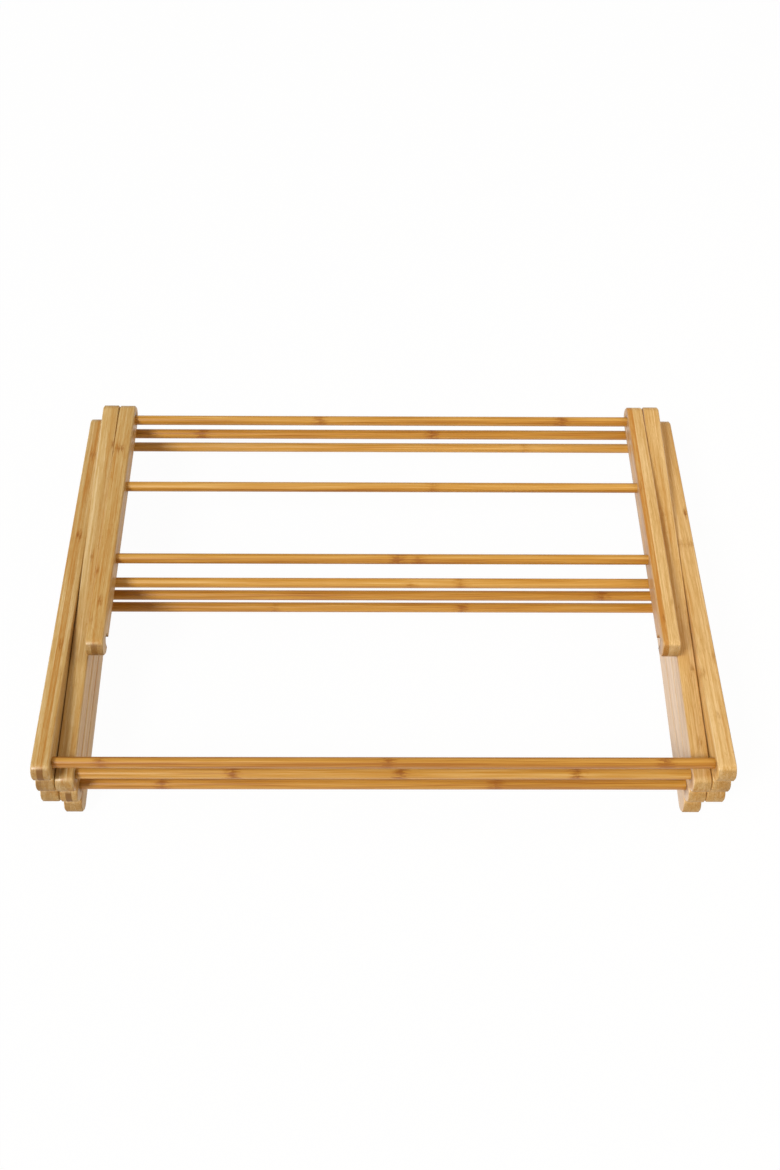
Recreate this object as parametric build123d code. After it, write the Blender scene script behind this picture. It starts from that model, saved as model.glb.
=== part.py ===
from build123d import *
import os
from math import asin, cos, degrees, sin

# A folding clothes rack: three crossed pairs of flat bars on each side, one above the
# other, joined by round rails that are also the hinge pins. It is modelled folded flat.
# +X runs along the rails, -Y is the front, +Z is up. The origin is on the floor, under
# the middle of the folded rack. Millimetres throughout.

# Driving dimensions
rack_width = 750.0  # over the outer faces of the outer bars
bar_width = 26.0  # flat bar, seen from the side
bar_thickness = 20.0  # flat bar, along the rails
pivot_span = 484.0  # from a long bar's front pivot to its rear pivot
bar_overhang = 20.0  # long bar beyond each end pivot
arm_overhang = 20.0  # hook arm behind its pivot
edge_bevel = 1.5  # round both faces of every bar

rail_diameter = 12.0
rail_end_chamfer = 0.8
socket_depth = 14.0  # blind hole that takes a rail's end
socket_end_gap = 0.5  # between a rail's end and the bottom of its socket

arm_rail_spacing = 110.0  # between the rails on the hook arms, from the arms' pivot
arm_reach = 330.0  # from the arms' pivot to the middle of the notch
notch_width = 14.0
notch_depth = 14.0
notch_mouth_radius = 2.0
hook_lip = 16.0  # hook arm in front of the notch

# Named clearances
turning_clearance = 0.1  # radial, where a bar turns on a rail
column_gap = 0.7  # between bars that lie side by side
stack_gap = 0.3  # between bars that lie on each other when folded
arm_rest_gap = 0.3  # between the hook arms and the rail that they lie on

# Derived sizes. A long bar's pivots stand half a layer above and below its middle one, so
# the layers are as far apart as the folded bars' slope makes them.
rail_radius = rail_diameter / 2
half_span = pivot_span / 2
fold_tilt = asin(2 * (bar_width + stack_gap) / pivot_span) / 2
layer_pitch = pivot_span * sin(fold_tilt)
pivot_y = half_span * cos(fold_tilt)
rest_lift = bar_width / 2 + rail_radius + arm_rest_gap
arm_tilt = asin(rest_lift / half_span) - fold_tilt
end_radius = bar_width / 2
foot_rise = (bar_overhang - end_radius) * sin(fold_tilt) + end_radius
middle_height = 1.5 * layer_pitch + foot_rise

# Columns of bars, by the distance of their middle from the rack's middle
outer_column = rack_width / 2 - bar_thickness / 2
inner_column = outer_column - bar_thickness - column_gap
arm_column = inner_column - bar_thickness - column_gap

GLUED = rail_radius
TURNING = rail_radius + turning_clearance


def along_x(radius, length):
    return Rot(0, 90, 0) * Cylinder(radius, length)


def through_hole(radius, y):
    return Pos(0, y, 0) * along_x(radius, 2 * bar_thickness)


def socket(radius, y):
    """A blind hole in the face towards the middle of the rack."""
    return Pos((socket_depth - bar_thickness) / 2, y, 0) * along_x(radius, socket_depth)


def both_sides(name, right, column, y, z, tilt):
    """The right-hand piece in its place, and its mirror image on the left."""
    placed = Pos(column, y, z) * Rot(tilt, 0, 0) * right
    return {f"{name}_right": placed, f"{name}_left": mirror(placed, about=Plane.YZ)}


def flat_bar(front_tip, rear_tip):
    """A bar with fully rounded ends, bevelled round both faces, lying along Y between two tips."""
    front_y = front_tip + end_radius
    rear_y = rear_tip - end_radius
    side_view = Plane.YZ * (
        Pos((front_y + rear_y) / 2, 0) * Rectangle(rear_y - front_y, bar_width)
        + Pos(front_y, 0) * Circle(end_radius)
        + Pos(rear_y, 0) * Circle(end_radius)
    )
    bar = extrude(side_view, bar_thickness / 2, both=True)
    return chamfer(bar.faces().filter_by(Axis.X).edges(), edge_bevel)


def long_bar(holes):
    tip = half_span + bar_overhang
    return flat_bar(-tip, tip) - holes


def crossed_pair(level, outer_name, outer_holes, inner_name, inner_holes):
    """The four bars of one crossing: outer bars slope down to the rear, inner bars to the front."""
    z = middle_height + level * layer_pitch
    tilt = degrees(fold_tilt)
    outer = both_sides(outer_name, long_bar(outer_holes), outer_column, 0, z, -tilt)
    inner = both_sides(inner_name, long_bar(inner_holes), inner_column, 0, z, tilt)
    return outer | inner


def notch_cutter():
    """A slot with a round top that opens through the arm's lower edge, its mouth flared."""
    lower_edge = -bar_width / 2
    top_z = lower_edge + notch_depth - notch_width / 2
    under_height = bar_width
    side_view = (
        Pos(0, (top_z + lower_edge) / 2) * Rectangle(notch_width, top_z - lower_edge)
        + Pos(0, top_z) * Circle(notch_width / 2)
        + Pos(0, lower_edge - under_height / 2) * Rectangle(2 * bar_width, under_height)
    )
    mouth = [v for v in side_view.vertices() if abs(v.Y - lower_edge) < 1e-6 and abs(v.X) < notch_width]
    side_view = fillet(mouth, notch_mouth_radius)
    return Pos(0, -arm_reach, 0) * extrude(Plane.YZ * side_view, bar_thickness, both=True)


def hook_arms():
    """The two arms, their pivot at the origin until they are placed."""
    arm = flat_bar(-(arm_reach + notch_width / 2 + hook_lip), arm_overhang) - notch_cutter()
    arm -= through_hole(TURNING, 0)
    for step in (1, 2):
        arm -= socket(GLUED, -step * arm_rail_spacing)
    z = middle_height + 1.5 * layer_pitch
    return both_sides("hook_arm", arm, arm_column, pivot_y, z, -degrees(arm_tilt))


def rail(column, y, z):
    """A round rail whose ends stand in the sockets of the two bars of a column."""
    inner_face = column - bar_thickness / 2
    length = 2 * (inner_face + socket_depth - socket_end_gap)
    dowel = along_x(rail_radius, length)
    dowel = chamfer(dowel.edges().filter_by(GeomType.CIRCLE), rail_end_chamfer)
    return Pos(0, y, z) * dowel


front, centre, rear = -half_span, 0.0, half_span

nodes = {}
nodes |= crossed_pair(
    1,
    "top_outer_bar",
    [socket(GLUED, front), socket(GLUED, centre), socket(GLUED, rear)],
    "top_inner_bar",
    [through_hole(TURNING, front), through_hole(TURNING, centre), socket(GLUED, rear)],
)
nodes |= crossed_pair(
    0,
    "middle_outer_bar",
    [socket(GLUED, front), socket(TURNING, centre), socket(TURNING, rear)],
    "middle_inner_bar",
    [through_hole(TURNING, front), through_hole(GLUED, centre), through_hole(TURNING, rear)],
)
nodes |= crossed_pair(
    -1,
    "bottom_outer_leg",
    [socket(GLUED, front), socket(TURNING, centre)],
    "bottom_inner_leg",
    [through_hole(TURNING, centre), through_hole(GLUED, rear)],
)
nodes |= hook_arms()

# Rails by row, each with its column and its height in layers above the rack's middle
rail_rows = {
    "front": (-pivot_y, {"top": (outer_column, 1.5), "middle": (outer_column, 0.5), "bottom": (outer_column, -0.5)}),
    "centre": (0.0, {"top": (outer_column, 1.0), "middle": (outer_column, 0.0), "bottom": (outer_column, -1.0)}),
    "rear": (pivot_y, {"top": (inner_column, 1.5), "middle": (outer_column, 0.5), "bottom": (outer_column, -0.5)}),
}
for row, (y, rails) in rail_rows.items():
    for height_name, (column, layers) in rails.items():
        nodes[f"{row}_{height_name}_rail"] = rail(column, y, middle_height + layers * layer_pitch)

for step, name in ((1, "arm_rear_rail"), (2, "arm_front_rail")):
    distance = step * arm_rail_spacing
    y = pivot_y - distance * cos(arm_tilt)
    z = middle_height + 1.5 * layer_pitch + distance * sin(arm_tilt)
    nodes[name] = rail(arm_column, y, z)

os.makedirs("parts", exist_ok=True)
for name, solid in nodes.items():
    export_step(solid, f"parts/{name}.step")
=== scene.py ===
from math import atan2, radians

import bpy
from mathutils import Euler, Matrix, Vector


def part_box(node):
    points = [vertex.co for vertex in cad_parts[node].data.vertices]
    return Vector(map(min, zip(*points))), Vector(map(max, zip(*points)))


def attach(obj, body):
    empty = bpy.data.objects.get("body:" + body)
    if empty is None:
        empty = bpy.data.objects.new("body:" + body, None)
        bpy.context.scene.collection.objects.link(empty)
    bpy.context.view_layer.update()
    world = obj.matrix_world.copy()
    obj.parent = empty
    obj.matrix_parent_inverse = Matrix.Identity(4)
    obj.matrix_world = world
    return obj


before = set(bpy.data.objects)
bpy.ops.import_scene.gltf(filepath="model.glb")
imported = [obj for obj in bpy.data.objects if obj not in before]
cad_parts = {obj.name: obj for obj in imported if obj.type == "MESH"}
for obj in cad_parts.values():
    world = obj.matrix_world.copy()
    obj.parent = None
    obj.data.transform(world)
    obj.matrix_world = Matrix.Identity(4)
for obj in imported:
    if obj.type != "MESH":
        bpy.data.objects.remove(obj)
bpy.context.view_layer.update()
print("rack loaded")


def linear(colour):
    # an ordinary 0 to 255 colour as the linear values that the shaders take
    channels = [c / 255 for c in colour]
    return [c / 12.92 if c <= 0.04045 else ((c + 0.055) / 1.055) ** 2.4 for c in channels] + [1.0]


class Signal:
    # a shader socket that can be used in sums

    def __init__(self, graph, socket):
        self.graph = graph
        self.socket = socket

    def combine(self, operation, *others):
        inputs = {i: value for i, value in enumerate((self, *others))}
        return self.graph.node("ShaderNodeMath", {"operation": operation}, inputs)

    def __add__(self, other):
        return self.combine("ADD", other)

    def __sub__(self, other):
        return self.combine("SUBTRACT", other)

    def __rsub__(self, other):
        return self.combine("MULTIPLY", -1.0) + other

    def __mul__(self, other):
        return self.combine("MULTIPLY", other)

    def __abs__(self):
        return self.combine("ABSOLUTE")

    def ramp(self, low, high):
        # eases from 0 at low to 1 at high
        settings = {"interpolation_type": "SMOOTHSTEP"}
        return self.graph.node("ShaderNodeMapRange", settings, {0: self, 1: low, 2: high})

    def highest(self, other):
        return self.combine("MAXIMUM", other)

    def lowest(self, other):
        return self.combine("MINIMUM", other)

    __radd__ = __add__
    __rmul__ = __mul__


class Graph:
    # the nodes of one material, or of the world

    def __init__(self, owner):
        owner.use_nodes = True
        self.owner = owner
        self.tree = owner.node_tree
        self.tree.nodes.clear()

    def node(self, kind, settings=None, inputs=None, output=0):
        made = self.tree.nodes.new(kind)
        for name, value in (settings or {}).items():
            setattr(made, name, value)
        for key, value in (inputs or {}).items():
            if isinstance(value, Signal):
                self.tree.links.new(value.socket, made.inputs[key])
            else:
                made.inputs[key].default_value = value
        return Signal(self, made.outputs[output]) if made.outputs else None

    def mix(self, factor, first, second):
        # blends two colours
        return self.node("ShaderNodeMix", {"data_type": "RGBA"}, {0: factor, 6: first, 7: second}, 2)

    def place(self, centre, tilt):
        # millimetres along a piece's own axes, measured from its centre
        rest = self.node("ShaderNodeTexCoord", output=3)
        inputs = {"Vector": rest, "Location": centre, "Rotation": (tilt, 0, 0), "Scale": (0.001,) * 3}
        return self.node("ShaderNodeMapping", {"vector_type": "TEXTURE"}, inputs)

    def axes(self, vector):
        split = self.node("ShaderNodeSeparateXYZ", inputs={0: vector})
        sockets = split.socket.node.outputs
        return [Signal(self, socket) for socket in sockets]

    def grain(self, place, sizes, seed, detail=2.0):
        # noise whose blobs have these sizes in mm along the piece's axes
        stretch = tuple(1 / size for size in sizes)
        inputs = {0: place, 1: stretch}
        scaled = self.node("ShaderNodeVectorMath", {"operation": "MULTIPLY"}, inputs)
        inputs = {"Vector": scaled, "W": seed, "Scale": 1.0, "Detail": detail, "Roughness": 0.55}
        return self.node("ShaderNodeTexNoise", {"noise_dimensions": "4D"}, inputs)

    def lacquer(self, colour, roughness, height, coat):
        # clear satin lacquer over bamboo
        inputs = {"Strength": varnish["bump"], "Distance": varnish["depth"], "Height": height}
        normal = self.node("ShaderNodeBump", inputs=inputs)
        inputs = {
            "Base Color": colour,
            "Roughness": roughness,
            "Coat Weight": coat,
            "Coat Roughness": varnish["coatRoughness"],
            "Normal": normal,
        }
        surface = self.node("ShaderNodeBsdfPrincipled", inputs=inputs)
        self.node("ShaderNodeOutputMaterial", inputs={"Surface": surface})
        return self.owner


def middle(node):
    low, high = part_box(node)
    return (low + high) / 2


weldDistance = 0.00001  # joins the faces at their shared corners, so that they shade as one


def dress(node, material):
    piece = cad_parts[node]
    mesh = piece.data
    mesh.materials.clear()
    mesh.materials.append(material)
    mesh.shade_smooth()
    piece.modifiers.new("joined", "WELD").merge_threshold = weldDistance
    softened = piece.modifiers.new("softened edges", "WEIGHTED_NORMAL")  # bevels shade as rounded edges
    softened.keep_sharp = False


varnish = {
    "bump": 0.1,
    "depth": 0.0001,
    "coat": 0.4,
    "coatRoughness": 0.21,
    "barRoughness": 0.38,
    "railRoughness": 0.34,
    "grainRoughness": 0.12,
    "sawnRoughness": 0.2,
    "sawnLoss": 0.8,  # the share of the coat that the sawn ends soak up
}

barBamboo = {
    "tones": (linear((233, 199, 142)), linear((209, 166, 95)), linear((194, 131, 48))),
    "knot": linear((146, 84, 14)),
    "end": linear((118, 74, 8)),
    "pore": linear((96, 58, 8)),
    # paler, pinker tones for the inward faces of some right-hand bars: partly painted sheen of the light on
    # them, partly a paler cane face
    "sheenAndPaleSide": (linear((228, 204, 176)), linear((210, 181, 148)), linear((180, 144, 106))),
}

# a greyer, less warm copy of the palette for the left-hand pieces: painted light, for the cooler light that
# falls on the left side
coolLightBamboo = dict(barBamboo)
coolLightBamboo["tones"] = (linear((223, 196, 145)), linear((201, 164, 98)), linear((186, 129, 49)))

railBamboo = {
    "tones": (linear((226, 183, 106)), linear((203, 147, 54)), linear((168, 105, 18))),
    "knot": linear((152, 88, 6)),
}

# sizes are in mm: across the piece, along it, and upwards
barGrain = {
    "fine": {"size": (1.1, 80, 1.6), "contrast": 0.9},
    "broad": {"size": (3.4, 120, 7), "contrast": 1.5},
    "fibres": {"size": (0.8, 13, 0.8), "contrast": 0.8},
    "flecks": {"size": (0.6, 5, 0.6), "contrast": 0.3, "from": 0.6, "to": 0.72, "average": 0.02},
    "pores": {"size": (0.7, 4, 0.7), "contrast": 0.5, "from": 0.5, "to": 0.72},
    "knotTone": 0.5,
    "knotTint": 0.7,
}
railGrain = {
    "fine": {"size": (1.1, 90, 1.1), "contrast": 1.4},
    "broad": {"size": (3.0, 150, 3.0), "contrast": 1.1},
    "knotTone": 0.55,
    "knotTint": 0.5,
}
rings = {
    "streaks": (1.6, 10, 1.6),
    "breaks": (1.8, 2.2, 1.8),
    "wander": 8,
    "cloud": 14,
    "halo": 7,
    "haloStrength": 0.2,
    "line": 2.2,
    "lineStrength": 0.3,
}

# three strips make a bar and two make a rail, and each strip has its own grain
barStrips = {"edge": 3.35, "softness": 0.15, "shift": 7.0, "glueWidth": 0.3, "glueTone": 0.12, "glueDip": 0.5}
railStrips = {"softness": 0.25, "shift": 11.0}
sideFace = {"from": 8.9, "to": 9.9}  # mm from the middle of a bar to its inward face
sawnEnd = {"from": 0.45, "to": 0.7, "cover": 0.9}  # how far a face has to look along the bar

# every texture draws its own noise
draws = {"broad": 5, "fibres": 9, "pores": 19, "flecks": 29, "streaks": 40, "breaks": 50}


def shade(graph, tone, tones):
    # from the palest at 0 through the middle at 0.5 to the darkest at 1
    pale, medium, dark = tones
    light = graph.mix((tone * 2).lowest(1.0).highest(0.0), pale, medium)
    return graph.mix((tone * 2 - 1).lowest(1.0).highest(0.0), light, dark)


def smudges(graph, along, across, place, knots, seed):
    # growth rings of the cane: brown streaks that fade along the grain from a broken line
    # a knot is its place along and across the piece and its half width, in mm, and its strength
    streaks = graph.grain(place, rings["streaks"], seed + draws["streaks"], 3.0)
    breaks = graph.grain(place, rings["breaks"], seed + draws["breaks"], 2.0)
    total = None
    for position, sideways, width, strength in knots:
        off = abs(along - position + (breaks - 0.5) * rings["wander"])
        mask = abs(across - sideways).ramp(width + 1.8, width - 1.4)
        cloud = off.ramp(rings["cloud"], 0) * streaks.ramp(0.4, 0.62)
        line = off.ramp(rings["line"], 0.3) * breaks.ramp(0.34, 0.56) * rings["lineStrength"]
        mark = (cloud + line + off.ramp(rings["halo"], 0) * rings["haloStrength"]) * mask * strength
        total = mark if total is None else total.highest(mark)
    return total


def swing(noise, layer):
    # noise about its average, as strong as the layer says
    return (noise - 0.5) * layer["contrast"]


def barMaterial(piece, centre, tilt):
    # three strips stood side by side across the bar
    graph = Graph(bpy.data.materials.new(piece["node"]))
    place = graph.place(centre, tilt)
    across, along = graph.axes(place)[:2]
    seed = piece["seed"]
    bamboo = piece["bamboo"]
    inner = barStrips["edge"] - barStrips["softness"]
    outer = barStrips["edge"] + barStrips["softness"]
    right = across.ramp(inner, outer)
    left = across.ramp(-inner, -outer)

    def strips(tones):
        return tones[1] + right * (tones[2] - tones[1]) + left * (tones[0] - tones[1])

    def texture(name, draw, detail=2.0):
        return graph.grain(place, barGrain[name]["size"], draw, detail)

    shift = right * barStrips["shift"] - left * barStrips["shift"]
    fine = texture("fine", shift + seed)
    broad = texture("broad", shift + seed + draws["broad"])
    fibres = texture("fibres", seed + draws["fibres"], 1.0)
    glue = abs(abs(across) - barStrips["edge"]).ramp(barStrips["glueWidth"], 0.05)
    marks = smudges(graph, along, across, place, piece["knots"], seed)
    flecks = barGrain["flecks"]
    dashes = texture("flecks", seed + draws["flecks"], 1.0).ramp(flecks["from"], flecks["to"])
    tone = strips(piece["tones"]) + swing(fine, barGrain["fine"]) + swing(broad, barGrain["broad"])
    tone = tone + swing(fibres, barGrain["fibres"])
    tone = tone + glue * barStrips["glueTone"] + marks * barGrain["knotTone"]
    tone = tone + dashes * flecks["contrast"] - flecks["average"]
    colour = shade(graph, tone, bamboo["tones"])
    colour = graph.mix(marks * barGrain["knotTint"], colour, bamboo["knot"])
    if piece["sheenAndPaleSide"]:
        # the inward side face of some right-hand bars is painted paler and less yellow: partly a painted
        # sheen of the light that falls on these faces, partly a paler cane face
        inward = (across * -1.0).ramp(sideFace["from"], sideFace["to"]) * piece["sheenAndPaleSide"]
        colour = graph.mix(inward, colour, shade(graph, tone, bamboo["sheenAndPaleSide"]))

    # the rounded ends are sawn across the grain
    facing = graph.node("ShaderNodeTexCoord", output=1)
    inputs = {"Vector": facing, "Rotation": (tilt, 0, 0)}
    turned = graph.node("ShaderNodeMapping", {"vector_type": "TEXTURE"}, inputs)
    sawn = abs(graph.axes(turned)[1]).ramp(sawnEnd["from"], sawnEnd["to"])
    pores = barGrain["pores"]
    holes = texture("pores", seed + draws["pores"], 1.0).ramp(pores["from"], pores["to"])
    endColour = graph.mix(strips(piece["ends"]), colour, bamboo["end"])
    endColour = graph.mix(holes * pores["contrast"], endColour, bamboo["pore"])
    colour = graph.mix(sawn * sawnEnd["cover"], colour, endColour)
    roughness = fine * varnish["grainRoughness"] + sawn * varnish["sawnRoughness"] + varnish["barRoughness"]
    coat = (1.0 - sawn * varnish["sawnLoss"]) * varnish["coat"]
    dress(piece["node"], graph.lacquer(colour, roughness, fine - glue * barStrips["glueDip"], coat))


def dressRail(piece):
    # round rails turned from two strips glued together
    graph = Graph(bpy.data.materials.new(piece["node"]))
    place = graph.place(middle(piece["node"]), 0)
    along, across, up = graph.axes(place)
    seed = piece["seed"]
    turned = graph.node("ShaderNodeCombineXYZ", inputs={0: across, 1: along, 2: up})
    # the band above joint is lighter and the band below darker: partly the two strips' own tones, partly a
    # painted highlight along the top and painted shade underneath
    half = up.ramp(piece["joint"] - railStrips["softness"], piece["joint"] + railStrips["softness"])
    shift = half * railStrips["shift"]
    fine = graph.grain(turned, railGrain["fine"]["size"], shift + seed)
    broad = graph.grain(turned, railGrain["broad"]["size"], shift + seed + draws["broad"])
    marks = smudges(graph, along, across, turned, piece["knots"], seed)
    tone = piece["low"] + half * (piece["high"] - piece["low"])
    tone = tone + swing(fine, railGrain["fine"]) + swing(broad, railGrain["broad"])
    tone = tone + marks * railGrain["knotTone"]
    colour = shade(graph, tone, railBamboo["tones"])
    colour = graph.mix(marks * railGrain["knotTint"], colour, railBamboo["knot"])
    roughness = fine * varnish["grainRoughness"] + varnish["railRoughness"]
    dress(piece["node"], graph.lacquer(colour, roughness, fine, varnish["coat"]))


def dressBar(piece):
    # laid along the line from one rail to another
    start = middle(piece["start"])
    end = middle(piece["end"])
    run = end - start
    tilt = atan2(run.z, run.y)
    centre = {"start": start, "halfway": (start + end) / 2, "end": end}[piece["origin"]]
    centre.x = middle(piece["node"]).x
    barMaterial(piece, centre, tilt)


# the bars, from the outermost column inwards, left side first
topOuterLeft = {
    "node": "top_outer_bar_left",
    "bamboo": coolLightBamboo,
    "start": "front_top_rail",
    "end": "rear_middle_rail",
    "origin": "halfway",
    "tones": (0.46, 0.82, 0.42),
    "ends": (0.5, 1.0, 0.45),
    "sheenAndPaleSide": 0,
    "knots": ((192, 0.5, 4, 0.5), (61, 0.5, 3, 1.0), (-97, 1, 2, 0.8), (-137, 6, 2, 0.3)),
    "seed": 1.0,
}
dressBar(topOuterLeft)

middleOuterLeft = {
    "node": "middle_outer_bar_left",
    "bamboo": coolLightBamboo,
    "start": "front_middle_rail",
    "end": "rear_bottom_rail",
    "origin": "halfway",
    "tones": (0.55, 0.6, 0.5),
    "ends": (0.8, 0.6, 0.5),
    "sheenAndPaleSide": 0,
    "knots": ((120, 0, 9, 0.6), (-140, -6, 3, 0.7)),
    "seed": 2.3,
}
dressBar(middleOuterLeft)

bottomOuterLeft = {
    "node": "bottom_outer_leg_left",
    "bamboo": coolLightBamboo,
    "start": "front_bottom_rail",
    "end": "centre_bottom_rail",
    "origin": "end",
    "tones": (0.5, 0.55, 0.6),
    "ends": (0.5, 0.5, 0.35),
    "sheenAndPaleSide": 0,
    "knots": ((-60, 6, 3, 0.6), (170, 0, 9, 0.6)),
    "seed": 3.1,
}
dressBar(bottomOuterLeft)

topInnerLeft = {
    "node": "top_inner_bar_left",
    "bamboo": coolLightBamboo,
    "start": "front_middle_rail",
    "end": "rear_top_rail",
    "origin": "halfway",
    "tones": (0.35, 0.45, 0.6),
    "ends": (0.45, 0.5, 0.35),
    "sheenAndPaleSide": 0,
    "knots": ((193, 8, 2, 0.6), (28, 0, 2, 0.5), (12, 9, 2, 0.7), (-25, 9, 1.5, 0.5)),
    "seed": 4.7,
}
dressBar(topInnerLeft)

middleInnerLeft = {
    "node": "middle_inner_bar_left",
    "bamboo": coolLightBamboo,
    "start": "front_bottom_rail",
    "end": "rear_middle_rail",
    "origin": "halfway",
    "tones": (0.5, 0.6, 0.5),
    "ends": (0.35, 1.0, 0.3),
    "sheenAndPaleSide": 0,
    "knots": ((80, 0, 9, 0.6), (-190, 6, 3, 0.6)),
    "seed": 5.9,
}
dressBar(middleInnerLeft)

bottomInnerLeft = {
    "node": "bottom_inner_leg_left",
    "bamboo": coolLightBamboo,
    "start": "centre_bottom_rail",
    "end": "rear_bottom_rail",
    "origin": "start",
    "tones": (0.55, 0.5, 0.5),
    "ends": (0.6, 0.5, 0.5),
    "sheenAndPaleSide": 0,
    "knots": ((-120, 0, 9, 0.6), (150, -6, 3, 0.6)),
    "seed": 6.2,
}
dressBar(bottomInnerLeft)

topOuterRight = {
    "node": "top_outer_bar_right",
    "bamboo": barBamboo,
    "start": "front_top_rail",
    "end": "rear_middle_rail",
    "origin": "halfway",
    "tones": (0.32, 0.32, 0.38),
    "ends": (0.34, 0.38, 0.41),
    "sheenAndPaleSide": 0,
    "knots": (
        (50, 0, 9, 0.3),
        (98, 7, 2, 1.0),
        (-134, -8, 2, 0.5),
        (-112, 7, 1, 0.4),
        (-192, 0, 2, 0.5),
    ),
    "seed": 7.4,
}
dressBar(topOuterRight)

middleOuterRight = {
    "node": "middle_outer_bar_right",
    "bamboo": barBamboo,
    "start": "front_middle_rail",
    "end": "rear_bottom_rail",
    "origin": "halfway",
    "tones": (0.4, 0.5, 0.4),
    "ends": (0.3, 0.45, 0.52),
    "sheenAndPaleSide": 0,
    "knots": ((60, 0, 9, 0.6), (-170, 6, 3, 0.6)),
    "seed": 8.8,
}
dressBar(middleOuterRight)

bottomOuterRight = {
    "node": "bottom_outer_leg_right",
    "bamboo": barBamboo,
    "start": "front_bottom_rail",
    "end": "centre_bottom_rail",
    "origin": "end",
    "tones": (0.5, 0.5, 0.4),
    "ends": (0.3, 0.38, 0.38),
    "sheenAndPaleSide": 0,
    "knots": ((20, 0, 9, 0.6), (-150, -6, 3, 0.6)),
    "seed": 9.5,
}
dressBar(bottomOuterRight)

topInnerRight = {
    "node": "top_inner_bar_right",
    "bamboo": barBamboo,
    "start": "front_middle_rail",
    "end": "rear_top_rail",
    "origin": "halfway",
    "tones": (0.45, 0.38, 0.42),
    "ends": (0.3, 0.3, 0.3),
    "sheenAndPaleSide": 0.9,
    "knots": ((-212, 1.5, 2, 0.5), (-120, 5, 2, 0.6), (90, -2, 3, 0.3)),
    "seed": 10.6,
}
dressBar(topInnerRight)

middleInnerRight = {
    "node": "middle_inner_bar_right",
    "bamboo": barBamboo,
    "start": "front_bottom_rail",
    "end": "rear_middle_rail",
    "origin": "halfway",
    "tones": (0.4, 0.45, 0.45),
    "ends": (0.3, 0.3, 0.34),
    "sheenAndPaleSide": 1.0,
    "knots": ((130, 0, 9, 0.6), (-90, 6, 3, 0.6)),
    "seed": 11.3,
}
dressBar(middleInnerRight)

bottomInnerRight = {
    "node": "bottom_inner_leg_right",
    "bamboo": barBamboo,
    "start": "centre_bottom_rail",
    "end": "rear_bottom_rail",
    "origin": "start",
    "tones": (0.45, 0.45, 0.5),
    "ends": (0.38, 0.34, 0.34),
    "sheenAndPaleSide": 1.0,
    "knots": ((70, 0, 9, 0.6), (-200, 6, 3, 0.6)),
    "seed": 12.9,
}
dressBar(bottomInnerRight)

hookArmLeft = {
    "node": "hook_arm_left",
    "bamboo": coolLightBamboo,
    "start": "arm_front_rail",
    "end": "rear_top_rail",
    "origin": "end",
    "tones": (0.6, 0.6, 0.58),
    "ends": (0.5, 0.9, 0.6),
    "sheenAndPaleSide": 0,
    "knots": ((-59, -3, 6, 0.6), (-315, -7, 3, 0.3), (-247, -8, 2, 0.5), (-290, 0.5, 2, 0.8)),
    "seed": 13.4,
}
dressBar(hookArmLeft)

hookArmRight = {
    "node": "hook_arm_right",
    "bamboo": barBamboo,
    "start": "arm_front_rail",
    "end": "rear_top_rail",
    "origin": "end",
    "tones": (0.85, 0.21, 0.27),
    "ends": (0.45, 0.38, 0.45),
    "sheenAndPaleSide": 0.6,
    "knots": ((-290, 7, 1, 0.5), (-311, -5, 2, 0.6), (-120, -8, 2, 0.4)),
    "seed": 14.2,
}
dressBar(hookArmRight)
print("bars dressed")


# the rails, from the back of the top downwards and then forwards
rearTopRail = {
    "node": "rear_top_rail",
    "joint": 5.2,
    "low": 0.65,
    "high": 0.45,
    "knots": ((230, -6, 9, 1.0), (-78, -6, 9, 0.7)),
    "seed": 21.0,
}
dressRail(rearTopRail)

rearMiddleRail = {
    "node": "rear_middle_rail",
    "joint": -1.0,
    "low": 0.65,
    "high": 0.6,
    "knots": ((-231, -6, 9, 1.0), (66, -6, 9, 0.9)),
    "seed": 22.0,
}
dressRail(rearMiddleRail)

rearBottomRail = {
    "node": "rear_bottom_rail",
    "joint": 3.0,
    "low": 0.45,
    "high": 0.3,
    "knots": ((188, -6, 9, 0.3),),
    "seed": 23.0,
}
dressRail(rearBottomRail)

armRearRail = {
    "node": "arm_rear_rail",
    "joint": 3.0,
    "low": 0.7,
    "high": 0.4,
    "knots": ((62, -6, 9, 0.3),),
    "seed": 24.0,
}
dressRail(armRearRail)

armFrontRail = {
    "node": "arm_front_rail",
    "joint": 5.2,
    "low": 0.7,
    "high": 0.4,
    "knots": ((18, -6, 9, 0.9), (42, -6, 5, 0.6)),
    "seed": 25.0,
}
dressRail(armFrontRail)

centreTopRail = {
    "node": "centre_top_rail",
    "joint": 3.0,
    "low": 0.55,
    "high": 0.4,
    "knots": ((92, -6, 9, 0.5), (33, -6, 3, 0.5)),
    "seed": 26.0,
}
dressRail(centreTopRail)

centreMiddleRail = {
    "node": "centre_middle_rail",
    "joint": 1.0,
    "low": 0.72,
    "high": 0.62,
    "knots": ((264, -6, 9, 1.0),),
    "seed": 27.0,
}
dressRail(centreMiddleRail)

centreBottomRail = {
    "node": "centre_bottom_rail",
    "joint": 0.0,
    "low": 0.62,
    "high": 0.55,
    "knots": ((97, -6, 9, 0.8), (-130, -6, 9, 0.3)),
    "seed": 28.0,
}
dressRail(centreBottomRail)

frontTopRail = {
    "node": "front_top_rail",
    "joint": 5.4,
    "low": 0.84,
    "high": 0.55,
    "knots": ((-303, -6, 9, 0.7), (4, -6, 9, 1.0), (302, -6, 9, 1.0)),
    "seed": 29.0,
}
dressRail(frontTopRail)

frontMiddleRail = {
    "node": "front_middle_rail",
    "joint": 1.0,
    "low": 0.55,
    "high": 0.42,
    "knots": ((-164, -6, 9, 1.0), (18, -6, 9, 1.0), (211, -6, 9, 1.0)),
    "seed": 30.0,
}
dressRail(frontMiddleRail)

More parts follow.
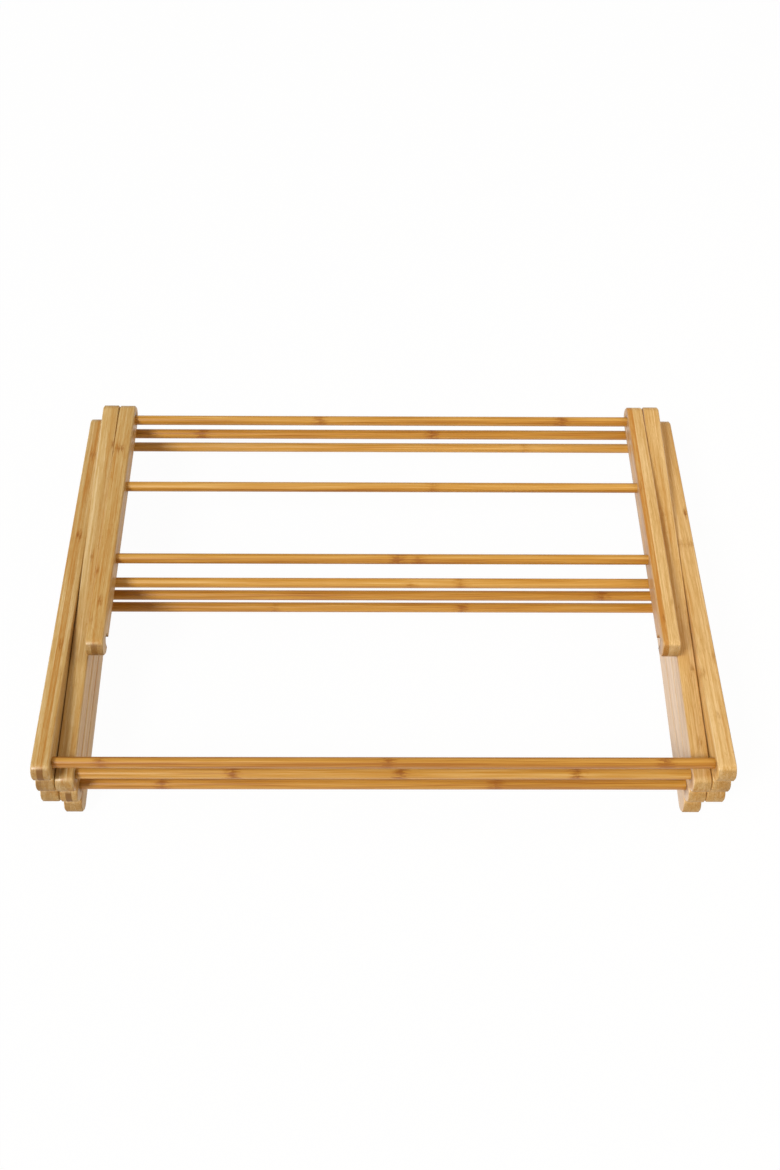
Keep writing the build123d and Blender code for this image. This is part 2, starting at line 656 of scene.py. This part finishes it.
frontBottomRail = {
    "node": "front_bottom_rail",
    "joint": 0.0,
    "low": 0.78,
    "high": 0.7,
    "knots": ((-244, -6, 9, 0.8), (124, -6, 9, 0.8)),
    "seed": 31.0,
}
dressRail(frontBottomRail)
print("rails dressed")


# the floor stays under the lowest rounded foot end as the rack opens
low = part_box("bottom_inner_leg_left")[0]
footRadius = 0.013  # half the width of a bar
floorSize = 40
footing = bpy.data.objects.new("footing", None)
bpy.context.scene.collection.objects.link(footing)
footing.location = (middle("bottom_inner_leg_left").x, low.y + footRadius, low.z + footRadius)
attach(footing, "inner_legs")

bpy.ops.mesh.primitive_plane_add(size=floorSize)
floor = bpy.context.object
floor.name = "floor"
floor.location.z = -footRadius
level = floor.constraints.new("COPY_LOCATION")
level.target = footing
level.use_x = False
level.use_y = False
level.use_offset = True

# seen directly the paper and the sky are white, the lacquer mirrors them dimmer, and the sky
# adds a weak warm light to the lamps
white = (1, 1, 1, 1)
backdrop = {
    "paper": (0.9, 0.9, 0.9, 1),
    "paperSeen": 0.97,
    "paperMirrored": 0.42,
    "sky": 0.31,
    "skySeen": 0.993,
    "skyMirrored": 0.4,
    "tint": (1.0, 0.86, 0.68, 1),
}


def seenDirectly(graph):
    rays = graph.node("ShaderNodeLightPath").socket.node.outputs
    return [Signal(graph, rays[name]) for name in ("Is Camera Ray", "Is Glossy Ray")]


paper = Graph(bpy.data.materials.new("white paper"))
camera, glossy = seenDirectly(paper)
matt = paper.node("ShaderNodeBsdfDiffuse", inputs={"Color": backdrop["paper"]})
glow = paper.node("ShaderNodeEmission", inputs={"Color": white, "Strength": 1.0})
whiteness = (camera * backdrop["paperSeen"]).highest(glossy * backdrop["paperMirrored"])
sheet = paper.node("ShaderNodeMixShader", inputs={0: whiteness, 1: matt, 2: glow})
paper.node("ShaderNodeOutputMaterial", inputs={"Surface": sheet})
floor.data.materials.append(paper.owner)

world = bpy.data.worlds.new("studio")
bpy.context.scene.world = world
studio = Graph(world)
camera, glossy = seenDirectly(studio)
strength = (camera * backdrop["skySeen"]).highest(glossy * backdrop["skyMirrored"])
strength = strength.highest(backdrop["sky"])
tint = studio.mix(camera.highest(glossy), backdrop["tint"], white)
sky = studio.node("ShaderNodeBackground", inputs={"Color": tint, "Strength": strength})
studio.node("ShaderNodeOutputWorld", inputs={"Surface": sky})


def hangLamp(name, lamp):
    # a round softbox
    light = bpy.data.lights.new(name, "AREA")
    light.shape = "DISK"
    light.size = lamp["size"]
    light.energy = lamp["power"]
    light.color = lamp["colour"]
    hung = bpy.data.objects.new(name, light)
    hung.location = lamp["location"]
    hung.rotation_euler = (hung.location - lamp["target"]).to_track_quat("Z", "Y").to_euler()
    bpy.context.scene.collection.objects.link(hung)


keyLamp = {
    "location": Vector((-6.0, -5.8, 9.0)),
    "target": Vector((0, 0, 0)),
    "size": 4.3,
    "power": 1055,
    "colour": (1, 1, 1),
}
hangLamp("key", keyLamp)

# a low lamp at the left reaches the inner faces of the right side
sideLamp = {
    "location": Vector((-5.0, -0.4, 1.7)),
    "target": Vector((0.35, 0, 0)),
    "size": 1.8,
    "power": 48,
    "colour": (1, 1, 1),
}
hangLamp("side", sideLamp)

fillLamp = {
    "location": Vector((1.4, 0.1, 1.25)),
    "target": Vector((0.2, 0, 0.1)),
    "size": 1.2,
    "power": 9.5,
    "colour": (1.0, 0.83, 0.62),
}
hangLamp("fill", fillLamp)

view = {
    "focalLength": 40.265,
    "sensor": 36,
    "sideShift": 0.01426,
    "location": (-0.0246, -0.8694, 1.3624),
    "lookDown": 55.96,
    "turn": -0.907,
    "roll": 0.895,
}
lens = bpy.data.cameras.new("camera")
lens.lens = view["focalLength"]
lens.sensor_width = view["sensor"]
lens.shift_x = view["sideShift"]
eye = bpy.data.objects.new("camera", lens)
bpy.context.scene.collection.objects.link(eye)
aim = Euler((radians(90 - view["lookDown"]), 0, radians(view["turn"]))).to_matrix()
aim = aim @ Matrix.Rotation(radians(view["roll"]), 3, "Z")
eye.matrix_world = Matrix.Translation(view["location"]) @ aim.to_4x4()
bpy.context.scene.camera = eye
bpy.context.scene.view_settings.view_transform = "Standard"
print("studio set")
